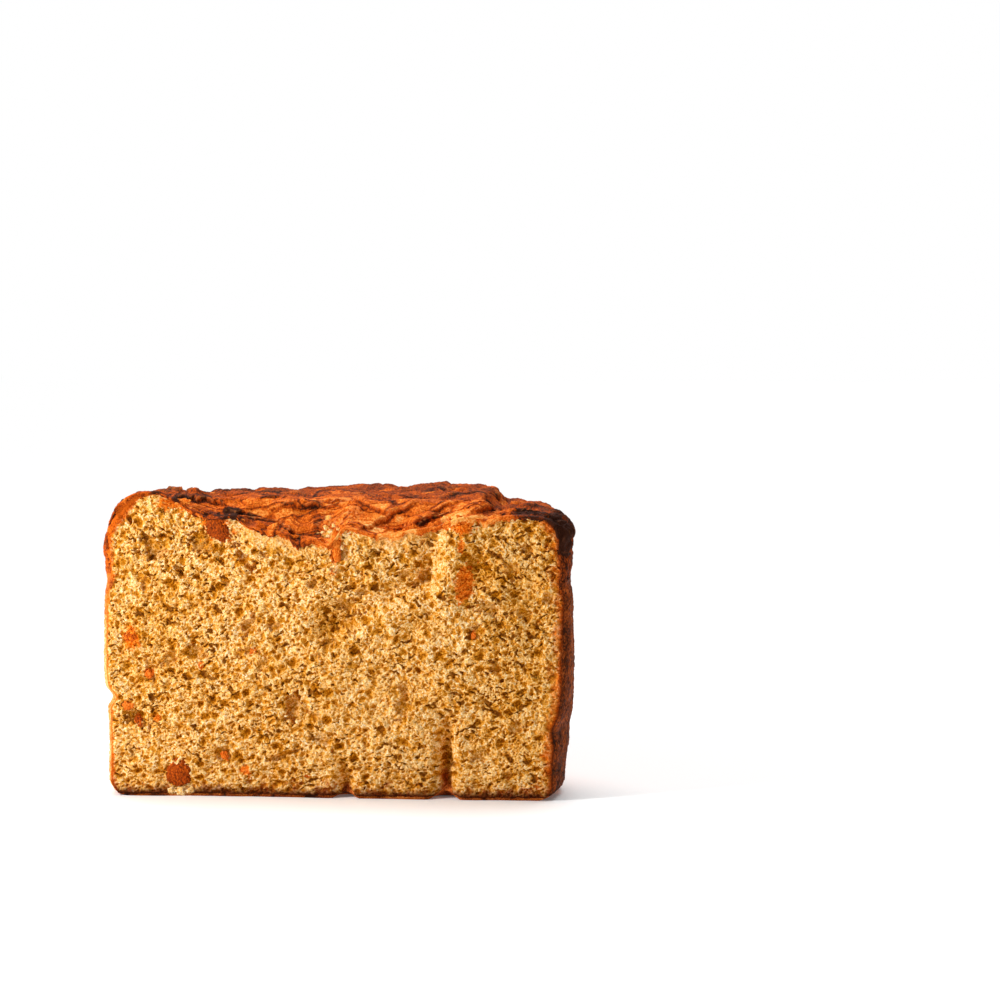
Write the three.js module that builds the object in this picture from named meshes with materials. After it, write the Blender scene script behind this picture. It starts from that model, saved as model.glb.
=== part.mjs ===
// A cut Easter sweet bread: a tall round loaf baked in a straight-sided tin, with a knife passed down through
// it a little in front of the middle. What is left stands on its flat base. Its cut face looks towards -Y,
// and the browned crust goes round the back and over the top. Everything is in millimetres, +Z is up, and
// the origin is under the middle of the piece, on the surface that it stands on.
//
// The piece is one solid. It starts as a box of small squares. The front side of the box becomes the cut face,
// the left, back and right sides become the round wall, and the top and bottom become the cap and the base.
// Each point is then moved by the reliefs below: the rounded shoulder, the crust that the knife dragged down
// over the crumb, the creases where the balls of dough met, and the furrows, ridges and holes of the crumb.
import * as THREE from "three";

// Driving dimensions.
const LOAF_DIAMETER = 185;
const LOAF_HEIGHT = 117;
const CUT_BEFORE_CENTRE = 20; // the knife went down this far in front of the loaf's middle
// The shoulder is rounder at the left end of the cut than at the right.
const SHOULDER_LEFT = { width: 13, height: 20 };
const SHOULDER_RIGHT = { width: 8.5, height: 12.5 };
const SQUARER_FROM = 30; // the shoulder changes from the one to the other between these two places
const SQUARER_TO = 75;
const BASE_EDGE_WIDTH = 8;
const BASE_EDGE_HEIGHT = 6;

// Squares along each side of the box that the piece is formed from.
const SQUARES_ACROSS = 44;
const SQUARES_DEEP = 20;
const SQUARES_HIGH = 27;
const CLOSER_TO_CUT = 1.3; // above 1, the squares are smaller near the cut

const RADIUS = LOAF_DIAMETER / 2;
const HALF_CUT = Math.sqrt(RADIUS ** 2 - CUT_BEFORE_CENTRE ** 2);
const CUT_ANGLE = Math.asin(CUT_BEFORE_CENTRE / RADIUS);
const CORNER_ANGLE = Math.PI / 4;

// The front edge of the cap, from left to right: [x, drop below the loaf's height]. At the left it stands
// proud, and in the middle the knife dragged the crust down over the crumb.
const DRAGGED_CRUST = [
  [-90, -1],
  [-70, -3],
  [-63, -0.5],
  [-56, 4],
  [-48, 7],
  [-39, 5.5],
  [-32, 9.5],
  [-23, 10.5],
  [-18, 12],
  [-14, 16],
  [-7, 14],
  [-2, 15.5],
  [6, 8.5],
  [16, 11],
  [24, 11],
  [32, 9],
  [40, 7.5],
  [49, 4.5],
  [57, 4],
  [66, 0.8],
  [75, 0.2],
  [90, 0],
];
const DRAG_DEPTH = 16; // how far back from the cut the cap starts to bend down
const CAP_SLUMP = 4; // the cap's right end lies this much lower, past a step between these two places
const CAP_SLUMP_FROM = 56;
const CAP_SLUMP_TO = 63;
const CAP_CROWN = 1.6; // behind the dragged edge the cap is this much higher

// The wall tapers to the base, more on the right side of the loaf, and pinches in where the cap rose over the
// rim of the tin.
const BASE_TAPER_LEFT = 1.2;
const BASE_TAPER_RIGHT = 3;
const TAPER_HEIGHT = 48;
const CAP_LINE = 86;
const CAP_PINCH = 0.9;
const CAP_PINCH_HALF = 9;

// Creases in the wall where balls of dough met, near the cut: side of the loaf, height, depth, half height.
const WALL_CREASES = [
  { side: -1, height: 38.6, depth: 2.6, half: 5 },
  { side: 1, height: 27, depth: 1.6, half: 7 },
];
const CREASE_REACH = 55;

// Notches in the base, and the furrows that run up the cut face from them.
const BASE_NOTCHES = [
  { x: 5, rise: 2.4, half: 6, furrow: 3, top: 16 },
  { x: 44, rise: 3.2, half: 7, furrow: 4.2, top: 36 },
];
const NOTCH_REACH = 60;

// Round hollows and raised lumps of the cut face: place, half width, half height, and depth into the crumb.
// The lumps, of negative depth, are crumbs of crust that stuck to the face.
const FACE_SPOTS = [
  { x: -16, z: 36.3, wide: 6, high: 6.5, depth: 4 },
  { x: -68.7, z: 97, wide: 6, high: 7, depth: 2.4 },
  { x: -51.6, z: 98, wide: 6.5, high: 6, depth: 2 },
  { x: -61.3, z: 8.5, wide: 7.5, high: 9, depth: -3.2 },
  { x: -80.4, z: 62, wide: 5.5, high: 7, depth: -1.6 },
  { x: -44.5, z: 105, wide: 6.5, high: 8, depth: -2.2 },
  { x: 1.3, z: 97, wide: 5, high: 8, depth: -1.8 },
];

// Swells and sunk places of the cap: place on the plan, half width, and height.
const CAP_SWELLS = [
  { x: -33, y: 92, half: 34, height: -2 },
  { x: -67, y: 22, half: 8, height: 3 },
  { x: -60, y: 30, half: 7, height: 3 },
  { x: 50, y: 50, half: 16, height: 1.3 },
  { x: 40, y: 92, half: 24, height: 0.9 },
  { x: 76, y: 58, half: 20, height: 2 },
  { x: 30, y: 62, half: 9, height: 0.8 },
];

const clamp01 = (t) => Math.min(1, Math.max(0, t));

// 0 below low, 1 above high, and a smooth climb between them.
function rise(low, high, value) {
  const t = clamp01((value - low) / (high - low));
  return t * t * (3 - 2 * t);
}

// 1 at zero distance, falling smoothly to 0 at one.
function bell(distance) {
  return 1 - rise(0, 1, Math.abs(distance));
}

// A smooth random field from -1 to 1, whose lumps are about one unit across.
function randomAt(i, j, k) {
  const s = Math.sin(i * 127.1 + j * 311.7 + k * 74.7) * 43758.5453;
  return 2 * (s - Math.floor(s)) - 1;
}

function lumps(x, y, z) {
  const [i, j, k] = [x, y, z].map(Math.floor);
  const [a, b, c] = [rise(i, i + 1, x), rise(j, j + 1, y), rise(k, k + 1, z)];
  let sum = 0;
  for (const di of [0, 1])
    for (const dj of [0, 1])
      for (const dk of [0, 1]) {
        const share = (di ? a : 1 - a) * (dj ? b : 1 - b) * (dk ? c : 1 - c);
        sum += share * randomAt(i + di, j + dj, k + dk);
      }
  return sum;
}

// The drop of the dragged crust at x, smoothly joined from point to point.
function dragDrop(x) {
  const points = DRAGGED_CRUST;
  if (x <= points[0][0]) return points[0][1];
  for (let n = 1; n < points.length; n++) {
    const [x0, drop0] = points[n - 1];
    const [x1, drop1] = points[n];
    if (x <= x1) return drop0 + (drop1 - drop0) * rise(x0, x1, x);
  }
  return points[points.length - 1][1];
}

// A point of the loaf's round wall, seen from above. The cut lies on y = 0.
function onWall(angle) {
  return [
    RADIUS * Math.cos(angle),
    CUT_BEFORE_CENTRE + RADIUS * Math.sin(angle),
  ];
}

// A square of the plan, across and deep from 0 to 1, laid over the piece as seen from above: its front side is
// the cut, and its other three sides share the round wall.
function planPoint(across, deep) {
  const front = [HALF_CUT * (2 * across - 1), 0];
  const back = onWall(Math.PI - CORNER_ANGLE - across * 2 * CORNER_ANGLE);
  const sideArc = CORNER_ANGLE + CUT_ANGLE;
  const left = onWall(Math.PI + CUT_ANGLE - deep * sideArc);
  const right = onWall(-CUT_ANGLE + deep * sideArc);
  const corners = [
    [-HALF_CUT, 0],
    [HALF_CUT, 0],
    onWall(Math.PI - CORNER_ANGLE),
    onWall(CORNER_ANGLE),
  ];
  return [0, 1].map((n) => {
    const sides = (1 - deep) * front[n] + deep * back[n] + (1 - across) * left[n] + across * right[n];
    const doubled =
      (1 - deep) * ((1 - across) * corners[0][n] + across * corners[1][n]) +
      deep * ((1 - across) * corners[2][n] + across * corners[3][n]);
    return sides - doubled;
  });
}

// Rounds a square corner to a quarter of an ellipse. Inward is measured from the wall, and up from the height
// where the rounding starts.
function roundedCorner(inward, up, width, height) {
  const out = (width - inward) / width;
  const share = up / height;
  if (out <= 0 || share <= 0) return [inward, up];
  const shrink = Math.max(out, share) / Math.hypot(out, share);
  return [width - width * out * shrink, up * shrink];
}

// How far the wall stands in from its full radius at a height, on the side of the loaf that x is on.
function wallInset(x, y, z) {
  const taper = BASE_TAPER_LEFT + (BASE_TAPER_RIGHT - BASE_TAPER_LEFT) * rise(-RADIUS, RADIUS, x);
  let inset = taper * (1 - rise(0, TAPER_HEIGHT, z));
  inset += CAP_PINCH * bell((z - CAP_LINE) / CAP_PINCH_HALF);
  for (const crease of WALL_CREASES) {
    const near = bell(y / CREASE_REACH) * (Math.sign(x) === crease.side ? 1 : 0);
    inset += near * crease.depth * bell((z - crease.height) / crease.half);
  }
  inset += 0.9 * lumps(x / 31, y / 31, z / 27) + 0.45 * lumps(x / 11, y / 11, z / 13);
  return inset;
}

// The cap's own relief: broad swells, and folds that run across the loaf.
function capRelief(x, y) {
  let height = 1.3 * lumps(x / 34, y / 30, 3) - 1.5 * rise(30, 90, Math.hypot(x, y - CUT_BEFORE_CENTRE));
  height += CAP_CROWN * rise(10, 40, y) - CAP_SLUMP * rise(CAP_SLUMP_FROM, CAP_SLUMP_TO, x);
  height += 0.9 * (1 - 2 * Math.abs(lumps(x / 23 + 5, y / 9, 7)));
  for (const swell of CAP_SWELLS) {
    height += swell.height * bell(Math.hypot(x - swell.x, y - swell.y) / swell.half);
  }
  return height;
}

// How deep the cut face lies behind the knife's plane. Ridges that stand out of it are negative.
function faceRelief(x, z) {
  // The right third turns away, behind an upright ridge, with a hollow to the left of the ridge.
  let depth = 4.5 * rise(52, 90, x) * rise(20, 70, z);
  const upright = x - 43 - 0.16 * (z - 84);
  depth -= 1.6 * bell((upright - 3) / 9) * rise(66, 84, z);
  depth += 2.4 * bell((upright + 5) / 8) * rise(76, 90, z);
  // A slanting ridge with a valley above it, where the crumb tore along the rise of the dough.
  const along = 0.87 * (x - 44) + 0.49 * (z - 83);
  const across = -0.49 * (x - 44) + 0.87 * (z - 83);
  const onRidge = rise(-62, -30, along) * (1 - rise(-6, 8, along));
  depth += onRidge * (1.6 * bell((across - 8) / 9) - 1.2 * bell(across / 8));
  // Furrows up from the notches of the base.
  for (const notch of BASE_NOTCHES) {
    depth += notch.furrow * bell((x - notch.x) / notch.half) * (1 - rise(notch.top / 2, notch.top, z));
  }
  for (const spot of FACE_SPOTS) {
    depth += spot.depth * bell(Math.hypot((x - spot.x) / spot.wide, (z - spot.z) / spot.high));
  }
  return depth + 0.9 * lumps(x / 26, 11, z / 22) + 0.35 * lumps(x / 8, 5, z / 8);
}

// Moves a point of the plain drum, at (x, y) on the plan and height z, to its place on the real piece.
function breadPoint(x, y, z) {
  const fromCentre = Math.hypot(x, y - CUT_BEFORE_CENTRE);
  const inward = RADIUS - fromCentre;
  // The shoulder and the base's edge are rounded.
  const squarer = rise(SQUARER_FROM, SQUARER_TO, x);
  const shoulderWidth = SHOULDER_LEFT.width + squarer * (SHOULDER_RIGHT.width - SHOULDER_LEFT.width);
  const shoulderHeight = SHOULDER_LEFT.height + squarer * (SHOULDER_RIGHT.height - SHOULDER_LEFT.height);
  const shoulder = LOAF_HEIGHT - shoulderHeight;
  let [newInward, up] = roundedCorner(inward, z - shoulder, shoulderWidth, shoulderHeight);
  if (up > 0) z = shoulder + up;
  [newInward, up] = roundedCorner(newInward, BASE_EDGE_HEIGHT - z, BASE_EDGE_WIDTH, BASE_EDGE_HEIGHT);
  if (up > 0) z = BASE_EDGE_HEIGHT - up;
  const nearWall = 1 - rise(0, 38, inward);
  newInward += nearWall * wallInset(x, y, z);
  // Radial moves keep a point of the cut face in the plane of the cut.
  const scale = (RADIUS - newInward) / Math.max(fromCentre, 1e-6);
  const movedY = CUT_BEFORE_CENTRE + (y - CUT_BEFORE_CENTRE) * scale;
  const offCut = rise(0, 14, y);
  const newX = x * scale;
  let newY = y + (movedY - y) * offCut;
  // The cap's relief and the dragged crust fade out downwards, the notches upwards.
  const nearTop = rise(LOAF_HEIGHT - 48, LOAF_HEIGHT, z);
  const dragged = dragDrop(newX) * (1 - rise(0, DRAG_DEPTH, newY));
  let newZ = z + nearTop * (capRelief(newX, newY) - dragged);
  for (const notch of BASE_NOTCHES) {
    const reach = 1 - rise(0, NOTCH_REACH, newY);
    newZ += notch.rise * bell((newX - notch.x) / notch.half) * reach * (1 - rise(0, 26, z));
  }
  newY += faceRelief(newX, newZ) * (1 - rise(0, 24, y));
  return [newX, newY, newZ];
}

function breadGeometry() {
  const geometry = new THREE.BoxGeometry(1, 1, 1, SQUARES_ACROSS, SQUARES_DEEP, SQUARES_HIGH);
  const position = geometry.getAttribute("position");
  for (let n = 0; n < position.count; n++) {
    const across = position.getX(n) + 0.5;
    const deep = (position.getY(n) + 0.5) ** CLOSER_TO_CUT;
    const height = position.getZ(n) + 0.5;
    const [x, y] = planPoint(across, deep);
    position.setXYZ(n, ...breadPoint(x, y, height * LOAF_HEIGHT));
  }
  // The base lies flat on z = 0, and the origin is under the middle of the piece.
  for (let n = 0; n < position.count; n++) {
    if (position.getZ(n) < 0.35) position.setZ(n, 0);
  }
  geometry.computeBoundingBox();
  const middle = geometry.boundingBox.getCenter(new THREE.Vector3());
  geometry.translate(-middle.x, -middle.y, 0);
  geometry.computeVertexNormals();
  return geometry;
}

const bakedBread = new THREE.MeshStandardMaterial({ color: 0xb9743a, roughness: 0.75, metalness: 0 });

const sweetBread = new THREE.Group();
const halfLoaf = new THREE.Mesh(breadGeometry(), bakedBread);
halfLoaf.name = "half_loaf";
sweetBread.add(halfLoaf);

export default sweetBread;
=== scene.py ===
"""The looks of a cut Easter sweet bread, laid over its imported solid."""
import math

import bmesh
import bpy
import numpy as np
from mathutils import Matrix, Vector


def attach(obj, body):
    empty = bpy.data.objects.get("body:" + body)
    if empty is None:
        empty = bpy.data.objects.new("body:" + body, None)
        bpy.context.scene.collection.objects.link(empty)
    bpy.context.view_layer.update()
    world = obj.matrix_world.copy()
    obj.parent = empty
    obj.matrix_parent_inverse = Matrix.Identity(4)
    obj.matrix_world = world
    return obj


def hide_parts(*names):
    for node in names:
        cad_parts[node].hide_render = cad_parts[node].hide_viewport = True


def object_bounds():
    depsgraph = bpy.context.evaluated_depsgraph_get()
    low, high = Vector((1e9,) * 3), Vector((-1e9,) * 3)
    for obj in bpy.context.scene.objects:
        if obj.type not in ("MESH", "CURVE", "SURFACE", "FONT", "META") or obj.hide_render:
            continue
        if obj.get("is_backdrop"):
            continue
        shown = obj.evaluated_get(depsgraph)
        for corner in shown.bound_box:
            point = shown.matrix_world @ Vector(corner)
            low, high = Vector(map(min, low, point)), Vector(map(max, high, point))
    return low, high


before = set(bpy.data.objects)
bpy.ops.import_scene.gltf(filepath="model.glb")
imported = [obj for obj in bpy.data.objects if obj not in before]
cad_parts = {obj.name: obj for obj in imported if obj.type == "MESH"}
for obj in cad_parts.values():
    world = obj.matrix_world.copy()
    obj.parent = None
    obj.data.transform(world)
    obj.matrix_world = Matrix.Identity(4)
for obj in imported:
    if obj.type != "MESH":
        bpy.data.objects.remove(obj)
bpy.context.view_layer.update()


# ------------------------------
# The crumb: the open yellow inside of the loaf, where the knife went down through it. The dough was rolled in
# balls and baked in a tin, so the face carries furrows, ridges and torn hollows, and thousands of gas cells
# that the blade opened. It is one slab, made in four lengths that meet edge to edge.

MM = 0.001

# The form of the loaf, in millimetres, as its solid has it. The cut is at y = 0.
RADIUS = 92.5
LOAF_HEIGHT = 117
CUT_BEFORE_CENTRE = 20
HALF_CUT = math.sqrt(RADIUS ** 2 - CUT_BEFORE_CENTRE ** 2)
CUT_ANGLE = math.asin(CUT_BEFORE_CENTRE / RADIUS)
CORNER_ANGLE = math.pi / 4

# The rounded shoulder at the left and at the right, and between which places it changes.
SHOULDER_WIDTH = (13, 8.5)
SHOULDER_HEIGHT = (20, 12.5)
SHOULDER_TURNS = (30, 75)
BASE_EDGE_WIDTH = 8
BASE_EDGE_HEIGHT = 6

# Where the crust ends on the cut face: place, and drop below the loaf's height.
CRUST_EDGE = [
    (-90, -1), (-70, -3), (-63, -0.5), (-56, 4), (-48, 7), (-39, 5.5), (-32, 9.5), (-23, 10.5), (-18, 12),
    (-14, 16), (-7, 14), (-2, 15.5), (6, 8.5), (16, 11), (24, 11), (32, 9), (40, 7.5), (49, 4.5), (57, 4),
    (66, 0.8), (75, 0.2), (90, 0),
]
DRAG_DEPTH = 16

# The cap lies lower past a step at its right end, and higher behind its dragged edge.
CAP_SLUMP = 4
CAP_SLUMP_X = (56, 63)
CAP_CROWN = 1.6
CAP_REACH = 48
# Its swells and sunk places: place on the plan, half width, and height.
CAP_SWELLS = [
    (-33, 92, 34, -2), (-67, 22, 8, 3), (-60, 30, 7, 3), (50, 50, 16, 1.3), (40, 92, 24, 0.9),
    (76, 58, 20, 2), (30, 62, 9, 0.8),
]

# The wall tapers to the base, more at the right, and pinches in where the tin's rim was.
BASE_TAPER_LEFT = 1.2
BASE_TAPER_RIGHT = 3
TAPER_HEIGHT = 48
CAP_LINE = 86
CAP_PINCH = 0.9
CAP_PINCH_HALF = 9
WALL_RELIEF_REACH = 38
# Its creases, where balls of dough met: side of the loaf, height, depth, and half height.
WALL_CREASES = [(-1, 38.6, 2.6, 5), (1, 27, 1.6, 7)]
CREASE_REACH = 55

# Notches in the base, and the furrows up from them: place, lift, half width, furrow's depth, and its top.
BASE_NOTCHES = [(5, 2.4, 6, 3, 16), (44, 3.2, 7, 4.2, 36)]
NOTCH_REACH = 11
NOTCH_HEIGHT = 26

# The cut face turns away at its right, behind an upright ridge with a hollow. A slanting ridge with a valley
# runs where the crumb tore along the rise of the dough.
TURNED_AWAY = 4.5
UPRIGHT_RIDGE = 2.6
UPRIGHT_HOLLOW = 2
SLANTING_RIDGE = 2.2
SLANTING_VALLEY = 2.6
RELIEF_REACH = 12
STRAIGHT_BY_CUT = 14
SOFT_EDGE = 0.8
SOFT_EDGE_REACH = 3

# The middle of the solid's box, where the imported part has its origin.
FORM_MIDDLE = (0.038, 54.839)


def rise(low, high, value):
    """0 below low, 1 above high, and a smooth climb between them."""
    t = np.clip((value - low) / (high - low), 0, 1)
    return t * t * (3 - 2 * t)


def fall(low, high, value):
    """1 below low, 0 above high, and a smooth way down between them."""
    return 1 - rise(low, high, value)


def bell(distance):
    """1 at no distance, falling smoothly to 0 at one."""
    return fall(0, 1, np.abs(distance))


def chance(i, j, k):
    """A number from 0 to 1 for each whole place, the same each time."""
    s = np.sin(i * 127.1 + j * 311.7 + k * 74.7) * 43758.5453
    return s - np.floor(s)


def lumps(x, y, z):
    """A smooth random field from -1 to 1, with lumps about one unit across."""
    x, y, z = np.broadcast_arrays(np.asarray(x, float), y, z)
    i, j, k = np.floor(x), np.floor(y), np.floor(z)
    a, b, c = rise(i, i + 1, x), rise(j, j + 1, y), rise(k, k + 1, z)
    total = np.zeros(x.shape)
    for di, dj, dk in np.ndindex(2, 2, 2):
        share = (a if di else 1 - a) * (b if dj else 1 - b) * (c if dk else 1 - c)
        total += share * (2 * chance(i + di, j + dj, k + dk) - 1)
    return total


def crust_drop(x):
    """How far below the loaf's height the crust ends on the cut face."""
    drop = np.full(np.shape(x), float(CRUST_EDGE[0][1]))
    for (x0, drop0), (x1, drop1) in zip(CRUST_EDGE, CRUST_EDGE[1:]):
        drop = np.where(x > x0, drop0 + (drop1 - drop0) * rise(x0, x1, x), drop)
    return drop


def on_wall(angle):
    """A point of the loaf's round wall, seen from above."""
    return RADIUS * np.cos(angle), CUT_BEFORE_CENTRE + RADIUS * np.sin(angle)


def plan_point(across, deep):
    """A square laid over the loaf: its front is the cut, and its other sides share the wall."""
    back = on_wall(math.pi - CORNER_ANGLE - across * 2 * CORNER_ANGLE)
    side_arc = CORNER_ANGLE + CUT_ANGLE
    left = on_wall(math.pi + CUT_ANGLE - deep * side_arc)
    right = on_wall(-CUT_ANGLE + deep * side_arc)
    front = (HALF_CUT * (2 * across - 1), 0 * across)
    back_left, back_right = on_wall(math.pi - CORNER_ANGLE), on_wall(CORNER_ANGLE)
    point = []
    for n in (0, 1):
        sides = (1 - deep) * front[n] + deep * back[n] + (1 - across) * left[n] + across * right[n]
        front_corners = (across * 2 - 1) * HALF_CUT * (1 - n)
        back_corners = (1 - across) * back_left[n] + across * back_right[n]
        point.append(sides - (1 - deep) * front_corners - deep * back_corners)
    return point


def rounded_corner(inward, up, width, height):
    """Rounds a square corner, by the distance inward from the wall and up from where it starts."""
    out = np.maximum((width - inward) / width, 0)
    share = np.maximum(up / height, 0)
    rounds = (out > 0) & (share > 0)
    shrink = np.where(rounds, np.maximum(out, share) / np.maximum(np.hypot(out, share), 1e-9), 1)
    return np.where(rounds, width - width * out * shrink, inward), np.where(rounds, up * shrink, up)


def wall_inset(x, y, z):
    """How far the wall stands in from its full radius."""
    taper = BASE_TAPER_LEFT + (BASE_TAPER_RIGHT - BASE_TAPER_LEFT) * rise(-RADIUS, RADIUS, x)
    inset = taper * fall(0, TAPER_HEIGHT, z) + CAP_PINCH * bell((z - CAP_LINE) / CAP_PINCH_HALF)
    for side, height, depth, half in WALL_CREASES:
        near = bell(y / CREASE_REACH) * (np.sign(x) == side)
        inset = inset + near * depth * bell((z - height) / half)
    return inset + 0.9 * lumps(x / 31, y / 31, z / 27) + 0.45 * lumps(x / 11, y / 11, z / 13)


def cap_relief(x, y):
    """The broad swells of the cap and the folds across it."""
    height = 1.3 * lumps(x / 34, y / 30, 3) - 1.5 * rise(30, 90, np.hypot(x, y - CUT_BEFORE_CENTRE))
    height += CAP_CROWN * rise(10, 40, y) - CAP_SLUMP * rise(*CAP_SLUMP_X, x)
    height += 0.9 * (1 - 2 * np.abs(lumps(x / 23 + 5, y / 9, 7)))
    for swell_x, swell_y, half, swell in CAP_SWELLS:
        height += swell * bell(np.hypot(x - swell_x, y - swell_y) / half)
    return height


def crust_line(x):
    """The height at which the crust ends on the cut face."""
    return LOAF_HEIGHT + cap_relief(x, 0 * x) - crust_drop(x)


def face_relief(x, z):
    """How deep the cut face lies behind the knife's plane."""
    depth = TURNED_AWAY * rise(52, 90, x) * rise(20, 70, z)
    beside = x - 43 - 0.16 * (z - 84)
    depth -= UPRIGHT_RIDGE * bell((beside - 3) / 9) * rise(64, 82, z)
    depth += UPRIGHT_HOLLOW * bell((beside + 6) / 8) * rise(72, 88, z)
    along = 0.87 * (x - 44) + 0.49 * (z - 83)
    across = -0.49 * (x - 44) + 0.87 * (z - 83)
    on_slant = rise(-62, -30, along) * fall(-6, 8, along)
    depth += on_slant * (SLANTING_VALLEY * bell((across - 8) / 9) - SLANTING_RIDGE * bell(across / 7))
    for notch_x, _, half, furrow, top in BASE_NOTCHES:
        depth += furrow * bell((x - notch_x) / half) * fall(top / 2, top, z)
    return depth + 0.9 * lumps(x / 26, 11, z / 22) + 0.35 * lumps(x / 8, 5, z / 8)


def bread_point(x, y, z):
    """Moves a point of the plain drum to its place on the loaf, in the drum's own millimetres."""
    from_centre = np.hypot(x, y - CUT_BEFORE_CENTRE)
    inward = RADIUS - from_centre
    width, height = (
        left + (right - left) * rise(*SHOULDER_TURNS, x) for left, right in (SHOULDER_WIDTH, SHOULDER_HEIGHT))
    shoulder = LOAF_HEIGHT - height
    new_inward, up = rounded_corner(inward, z - shoulder, width, height)
    z = np.where(up > 0, shoulder + up, z)
    new_inward, up = rounded_corner(new_inward, BASE_EDGE_HEIGHT - z, BASE_EDGE_WIDTH, BASE_EDGE_HEIGHT)
    z = np.where(up > 0, BASE_EDGE_HEIGHT - up, z)
    new_inward = new_inward + fall(0, WALL_RELIEF_REACH, inward) * wall_inset(x, y, z)
    scale = (RADIUS - new_inward) / np.maximum(from_centre, 1e-6)
    moved_y = CUT_BEFORE_CENTRE + (y - CUT_BEFORE_CENTRE) * scale
    new_x = x * scale
    new_y = y + (moved_y - y) * rise(0, STRAIGHT_BY_CUT, y)
    near_top = rise(LOAF_HEIGHT - CAP_REACH, LOAF_HEIGHT, z)
    dragged = crust_drop(new_x) * fall(0, DRAG_DEPTH, new_y)
    new_z = z + near_top * (cap_relief(new_x, new_y) - dragged)
    for notch_x, lift, half, _, _ in BASE_NOTCHES:
        reach = fall(0, NOTCH_REACH, new_y)
        new_z = new_z + lift * bell((new_x - notch_x) / half) * reach * fall(0, NOTCH_HEIGHT, z)
    new_y = new_y + face_relief(new_x, new_z) * fall(0, RELIEF_REACH, y)
    soft = SOFT_EDGE * fall(0, SOFT_EDGE_REACH, np.hypot(np.maximum(inward, 0), y))
    return new_x - np.sign(x) * soft, new_y + soft, new_z


def in_metres(x, y, z):
    """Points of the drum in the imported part's own frame."""
    return np.stack([x - FORM_MIDDLE[0], y - FORM_MIDDLE[1], np.maximum(z, 0)], axis=-1) * MM


def finished_mesh(bm, name):
    mesh = bpy.data.meshes.new(name)
    bm.to_mesh(mesh)
    bm.free()
    return mesh


def vectors(mesh, kind):
    flat = np.zeros(len(mesh.vertices) * 3)
    mesh.vertices.foreach_get(kind, flat)
    return flat.reshape(-1, 3)


def grid_mesh(name, columns, rows):
    """A flat grid to shape, with its columns' and rows' places from 0 to 1."""
    bm = bmesh.new()
    bmesh.ops.create_grid(bm, x_segments=columns, y_segments=rows, size=0.5)
    mesh = finished_mesh(bm, name)
    across, up, _ = vectors(mesh, "co").T + 0.5
    return mesh, across, up


def place(mesh, points):
    mesh.vertices.foreach_set("co", np.asarray(points, np.float32).ravel())
    mesh.update()


def tell(mesh, **told):
    """Keeps numbers for the mesh's material to read: one for each point, or one for all."""
    for name, values in told.items():
        each = np.full(len(mesh.vertices), values, np.float32)
        mesh.attributes.new(name, "FLOAT", "POINT").data.foreach_set("value", each)


def close_behind(mesh, shrink, shift, faces_down=False):
    """Closes a sheet behind: its border is drawn inwards, and the hole is filled."""
    bm = bmesh.new()
    bm.from_mesh(mesh)
    if faces_down:
        bmesh.ops.reverse_faces(bm, faces=bm.faces)
    border = [edge for edge in bm.edges if edge.is_boundary]
    drawn = bmesh.ops.extrude_edge_only(bm, edges=border)["geom"]
    for vert in [g for g in drawn if isinstance(g, bmesh.types.BMVert)]:
        vert.co = [way * share + off for way, share, off in zip(vert.co, shrink, shift)]
    bmesh.ops.holes_fill(bm, edges=[edge for edge in bm.edges if edge.is_boundary], sides=0)
    bm.to_mesh(mesh)
    bm.free()


def in_scene(name, data):
    thing = bpy.data.objects.new(name, data)
    bpy.context.scene.collection.objects.link(thing)
    return thing


def show(mesh, name, material):
    """Puts a finished piece in the scene, in place of the plain solid."""
    mesh.shade_smooth()
    mesh.materials.append(material)
    piece = in_scene(name, mesh)
    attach(piece, "root")
    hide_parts("half_loaf")


CRUMB_LENGTHS = 4
CRUMB_COLUMNS = 176
CRUMB_ROWS = 450

# Gas cells, from the largest: how far apart, how many in a hundred the knife opened, and how deep.
CELL_SIZES = [(4.6, 20, 1.3), (2.8, 50, 1), (1.8, 76, 0.75), (1.1, 84, 0.5)]
# The loaf's weight pressed the cells flat towards the base: heights now, and before.
PRESSED_FLAT = ([-5, 14, 55, 130], [-7, 19, 67, 142])
# Narrow tears between the cells: their turn in degrees, length and width.
TEARS = [(-38, 2.8, 1), (24, 2.2, 0.9)]
TEAR_DEPTH = 0.6

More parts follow.
